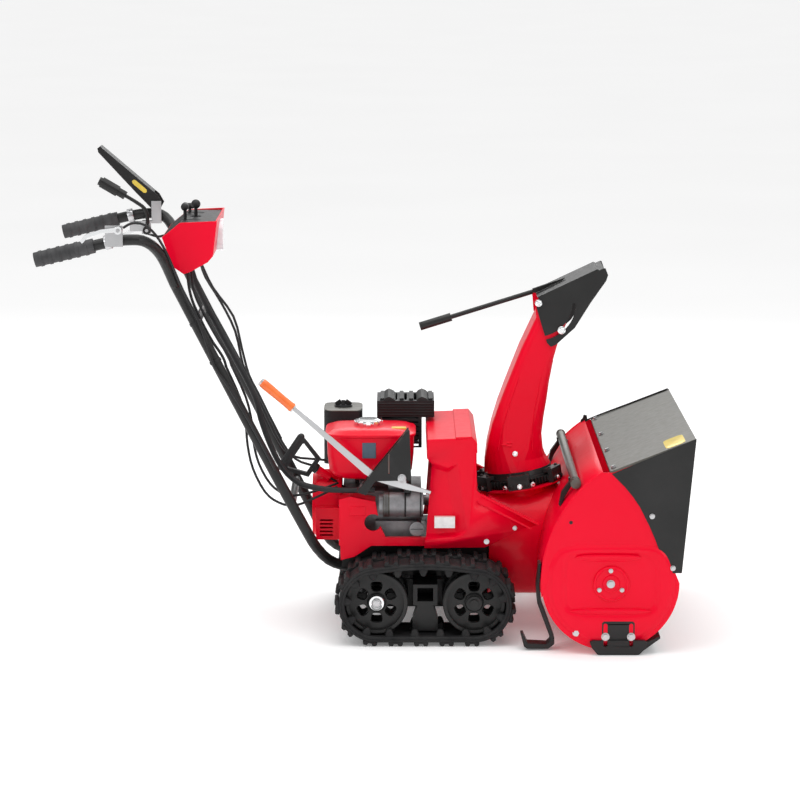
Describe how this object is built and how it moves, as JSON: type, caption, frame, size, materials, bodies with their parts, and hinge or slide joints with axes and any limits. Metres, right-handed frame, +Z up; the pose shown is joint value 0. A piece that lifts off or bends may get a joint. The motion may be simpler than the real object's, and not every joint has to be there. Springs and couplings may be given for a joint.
{
  "type": "two stage snowblower",
  "caption": "Walk-behind two stage snowblower on rubber tracks: auger housing, impeller, turning chute with hinged deflector, engine, handles and controls.",
  "frame": {"origin": "on the ground, under the middle of the whole machine", "axes": "+X forwards, towards the auger; +Y to the operator's left; +Z up"},
  "size_m": [1.5079, 0.748, 1.1166],
  "materials": {
    "red_paint": "gloss",
    "black_paint": "satin",
    "black_plastic": "matte",
    "track_rubber": "matte",
    "grip_rubber": "matte",
    "belt_rubber": "matte",
    "galvanised": "satin",
    "bright_steel": "satin",
    "chrome": "gloss",
    "cast_alloy": "matte",
    "cast_iron": "matte",
    "lamp_lens": "gloss"
  },
  "bodies": {
    "machine": {"main_frame": "black_paint", "transmission": "cast_alloy", "auger_housing": "red_paint", "side_plates": "red_paint", "top_guard": "galvanised", "side_guards": "black_paint", "scraper_blade": "black_paint", "skid_shoes": "black_paint", "blower_housing": "red_paint", "auger_gearbox": "cast_iron", "chute_retainers": "black_paint", "chute_motor": "black_paint", "stick_clips": "black_paint", "crankcase": "cast_alloy", "fan_cover": "red_paint", "engine_shroud": "red_paint", "fuel_tank": "red_paint", "air_cleaner": "black_plastic", "muffler": "black_plastic", "starter_motor": "cast_alloy", "front_cover": "red_paint", "drive_belts": "belt_rubber", "handle_tubes": "black_paint", "handle_grips": "grip_rubber", "console_box": "red_paint", "console_panel": "black_plastic", "headlamp": "lamp_lens", "lever_gate": "black_paint", "lever_brackets": "bright_steel", "control_cables": "black_plastic", "body_bolts": "bright_steel"},
    "track_unit": {"track_frame": "black_paint", "right_track": "track_rubber", "left_track": "track_rubber"},
    "right_drive_wheel": {"right_drive_wheel": "black_plastic"},
    "left_drive_wheel": {"left_drive_wheel": "black_plastic"},
    "right_idler_wheel": {"right_idler_wheel": "black_plastic"},
    "left_idler_wheel": {"left_idler_wheel": "black_plastic"},
    "transmission_pulley": {"hst_pulley": "bright_steel"},
    "crank": {"crank_pulley": "bright_steel"},
    "impeller": {"impeller": "red_paint", "impeller_shaft": "bright_steel"},
    "auger": {"auger_shaft": "bright_steel", "auger_flights": "red_paint"},
    "chute": {"chute": "red_paint", "chute_ring": "black_paint"},
    "chute_pinion": {"chute_pinion": "bright_steel"},
    "deflector": {"deflector": "black_paint", "deflector_lever": "black_paint"},
    "drive_clutch_lever": {"drive_clutch_lever": "black_paint"},
    "height_lever": {"height_lever": "black_paint"},
    "right_steering_lever": {"right_steering_lever": "chrome"},
    "left_steering_lever": {"left_steering_lever": "chrome"},
    "speed_lever": {"speed_lever": "black_plastic"},
    "throttle_lever": {"throttle_lever": "black_plastic"},
    "chute_joystick": {"chute_joystick": "black_plastic"},
    "side_lever": {"side_lever": "bright_steel"},
    "recoil_handle": {"recoil_handle": "black_plastic"},
    "clean_out_stick": {"clean_out_stick": "galvanised"},
    "fuel_cap": {"fuel_cap": "chrome"}
  },
  "joints": [
    {"name": "track_tilt", "type": "hinge", "parent": "machine", "child": "track_unit", "pos_m": [0.023, 0, 0.097], "axis": [0, 1, 0], "range_deg": [-3, 7]},
    {"name": "right_drive_spin", "type": "hinge", "parent": "track_unit", "child": "right_drive_wheel", "pos_m": [0.023, 0, 0.097], "axis": [0, 1, 0], "continuous": true},
    {"name": "left_drive_spin", "type": "hinge", "parent": "track_unit", "child": "left_drive_wheel", "pos_m": [0.023, 0, 0.097], "axis": [0, 1, 0], "continuous": true},
    {"name": "right_idler_spin", "type": "hinge", "parent": "track_unit", "child": "right_idler_wheel", "pos_m": [0.25, 0, 0.097], "axis": [0, 1, 0], "continuous": true},
    {"name": "left_idler_spin", "type": "hinge", "parent": "track_unit", "child": "left_idler_wheel", "pos_m": [0.25, 0, 0.097], "axis": [0, 1, 0], "continuous": true},
    {"name": "auger_spin", "type": "hinge", "parent": "machine", "child": "auger", "pos_m": [0.56, 0, 0.166], "axis": [0, 1, 0], "continuous": true},
    {"name": "impeller_spin", "type": "hinge", "parent": "machine", "child": "impeller", "pos_m": [0.4, 0, 0.2], "axis": [1, 0, 0], "continuous": true},
    {"name": "crank_spin", "type": "hinge", "parent": "machine", "child": "crank", "pos_m": [0.19, 0, 0.29], "axis": [1, 0, 0], "continuous": true},
    {"name": "transmission_pulley_spin", "type": "hinge", "parent": "machine", "child": "transmission_pulley", "pos_m": [0.19, 0.07, 0.185], "axis": [1, 0, 0], "continuous": true},
    {"name": "chute_rotate", "type": "hinge", "parent": "machine", "child": "chute", "pos_m": [0.364, 0, 0.334], "axis": [-0.1478, 0, 0.989], "range_deg": [-105, 105]},
    {"name": "pinion_spin", "type": "hinge", "parent": "machine", "child": "chute_pinion", "pos_m": [0.32055, 0.09866, 0.32751], "axis": [-0.1478, 0, 0.989], "range_deg": [-530, 530]},
    {"name": "deflector_tilt", "type": "hinge", "parent": "chute", "child": "deflector", "pos_m": [0.403, 0, 0.776], "axis": [0, 1, 0], "range_deg": [-28, 46]},
    {"name": "drive_clutch_squeeze", "type": "hinge", "parent": "machine", "child": "drive_clutch_lever", "pos_m": [-0.52, 0.3, 0.971], "axis": [0, -1, 0], "range_deg": [0, 54], "stiffness_Nm_per_rad": 1, "springref_deg": -17.19},
    {"name": "height_lever_swing", "type": "hinge", "parent": "machine", "child": "height_lever", "pos_m": [-0.543, 0.255, 0.912], "axis": [0, 1, 0], "range_deg": [-12, 25]},
    {"name": "right_steering_squeeze", "type": "hinge", "parent": "machine", "child": "right_steering_lever", "pos_m": [-0.56, -0.325, 0.974], "axis": [0, -1, 0], "range_deg": [0, 18], "stiffness_Nm_per_rad": 0.3, "springref_deg": -11.46},
    {"name": "left_steering_squeeze", "type": "hinge", "parent": "machine", "child": "left_steering_lever", "pos_m": [-0.56, 0.3, 0.916], "axis": [0, 1, 0], "range_deg": [0, 14], "stiffness_Nm_per_rad": 0.3, "springref_deg": -11.46},
    {"name": "speed_lever_swing", "type": "hinge", "parent": "machine", "child": "speed_lever", "pos_m": [-0.425, -0.08, 0.935], "axis": [0, 1, 0], "range_deg": [-25, 25]},
    {"name": "throttle_lever_swing", "type": "hinge", "parent": "machine", "child": "throttle_lever", "pos_m": [-0.425, 0.08, 0.935], "axis": [0, 1, 0], "range_deg": [-20, 20]},
    {"name": "chute_joystick_swing", "type": "hinge", "parent": "machine", "child": "chute_joystick", "pos_m": [-0.405, 0, 0.935], "axis": [0, 1, 0], "range_deg": [-14, 14], "stiffness_Nm_per_rad": 0.1},
    {"name": "side_lever_lift", "type": "hinge", "parent": "machine", "child": "side_lever", "pos_m": [0.082, -0.19, 0.381], "axis": [0, 1, 0], "range_deg": [0, 38]},
    {"name": "recoil_pull", "type": "slide", "parent": "machine", "child": "recoil_handle", "axis": [-0.829, 0, 0.5592], "range_m": [0, 0.27], "stiffness_N_per_m": 20, "springref_m": -0.1},
    {"name": "stick_lift", "type": "slide", "parent": "machine", "child": "clean_out_stick", "axis": [0.2588, 0, 0.9659], "range_m": [0, 0.12]},
    {"name": "fuel_cap_turn", "type": "hinge", "parent": "machine", "child": "fuel_cap", "pos_m": [0.003, -0.058, 0.4825], "axis": [0, 0, 1], "range_deg": [0, 90]}
  ],
  "couplings": [
    {"joint": "right_idler_spin", "follows": "right_drive_spin", "ratio": 1},
    {"joint": "left_idler_spin", "follows": "left_drive_spin", "ratio": 1},
    {"joint": "impeller_spin", "follows": "auger_spin", "ratio": 20},
    {"joint": "crank_spin", "follows": "auger_spin", "ratio": 37.261},
    {"joint": "transmission_pulley_spin", "follows": "auger_spin", "ratio": 27.094},
    {"joint": "pinion_spin", "follows": "chute_rotate", "ratio": -5}
  ]
}
